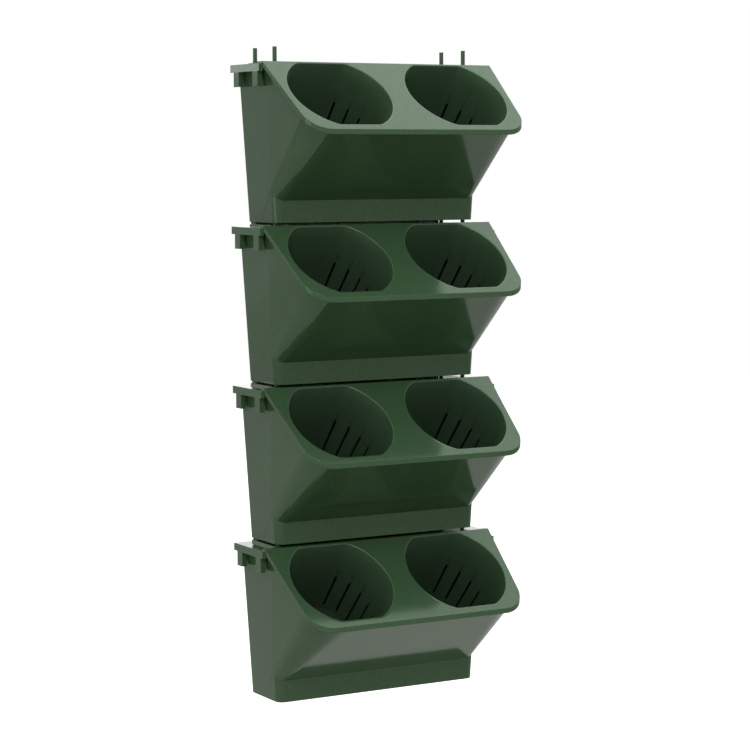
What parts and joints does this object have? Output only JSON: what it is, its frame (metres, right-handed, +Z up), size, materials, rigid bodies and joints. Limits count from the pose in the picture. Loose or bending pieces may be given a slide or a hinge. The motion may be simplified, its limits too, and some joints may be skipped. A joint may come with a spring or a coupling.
{
  "type": "wall planter",
  "caption": "Stacked wall planter: water troughs with sloped covers, each holding slotted lift-out plant cups, joined by pins.",
  "frame": {"origin": "on the wall plane, at the middle of the lowest tier's bottom edge", "axes": "+X to the right seen from the front, -Y away from the wall, +Z up"},
  "size_m": [0.3476, 0.1956, 0.8362],
  "materials": {
    "green_plastic": "glossy with a fine moulded grain",
    "lime_plastic": "glossy"
  },
  "bodies": {
    "tier_1": {"trough_1": "green_plastic", "cover_1": "green_plastic", "stacking_pins_1": "green_plastic", "overflow_tube_1": "lime_plastic"},
    "left_cup_1": {"left_cup_1": "green_plastic"},
    "right_cup_1": {"right_cup_1": "green_plastic"},
    "tier_2": {"trough_2": "green_plastic", "cover_2": "green_plastic", "stacking_pins_2": "green_plastic", "overflow_tube_2": "lime_plastic"},
    "left_cup_2": {"left_cup_2": "green_plastic"},
    "right_cup_2": {"right_cup_2": "green_plastic"},
    "tier_3": {"trough_3": "green_plastic", "cover_3": "green_plastic", "stacking_pins_3": "green_plastic", "overflow_tube_3": "lime_plastic"},
    "left_cup_3": {"left_cup_3": "green_plastic"},
    "right_cup_3": {"right_cup_3": "green_plastic"},
    "tier_4": {"trough_4": "green_plastic", "cover_4": "green_plastic", "stacking_pins_4": "green_plastic"},
    "left_cup_4": {"left_cup_4": "green_plastic"},
    "right_cup_4": {"right_cup_4": "green_plastic"}
  },
  "joints": [
    {"name": "left_cup_1_lift", "type": "slide", "parent": "tier_1", "child": "left_cup_1", "axis": [0, -0.6508, 0.7593], "range_m": [0, 0.11]},
    {"name": "right_cup_1_lift", "type": "slide", "parent": "tier_1", "child": "right_cup_1", "axis": [0, -0.6508, 0.7593], "range_m": [0, 0.11]},
    {"name": "left_cup_2_lift", "type": "slide", "parent": "tier_2", "child": "left_cup_2", "axis": [0, -0.6508, 0.7593], "range_m": [0, 0.11]},
    {"name": "right_cup_2_lift", "type": "slide", "parent": "tier_2", "child": "right_cup_2", "axis": [0, -0.6508, 0.7593], "range_m": [0, 0.11]},
    {"name": "left_cup_3_lift", "type": "slide", "parent": "tier_3", "child": "left_cup_3", "axis": [0, -0.6508, 0.7593], "range_m": [0, 0.11]},
    {"name": "right_cup_3_lift", "type": "slide", "parent": "tier_3", "child": "right_cup_3", "axis": [0, -0.6508, 0.7593], "range_m": [0, 0.11]},
    {"name": "left_cup_4_lift", "type": "slide", "parent": "tier_4", "child": "left_cup_4", "axis": [0, -0.6508, 0.7593], "range_m": [0, 0.15]},
    {"name": "right_cup_4_lift", "type": "slide", "parent": "tier_4", "child": "right_cup_4", "axis": [0, -0.6508, 0.7593], "range_m": [0, 0.15]},
    {"name": "tier_2_lift", "type": "slide", "parent": "tier_1", "child": "tier_2", "axis": [0, 0, 1], "range_m": [0, 0.03]},
    {"name": "tier_3_lift", "type": "slide", "parent": "tier_2", "child": "tier_3", "axis": [0, 0, 1], "range_m": [0, 0.03]},
    {"name": "tier_4_lift", "type": "slide", "parent": "tier_3", "child": "tier_4", "axis": [0, 0, 1], "range_m": [0, 0.03]}
  ]
}
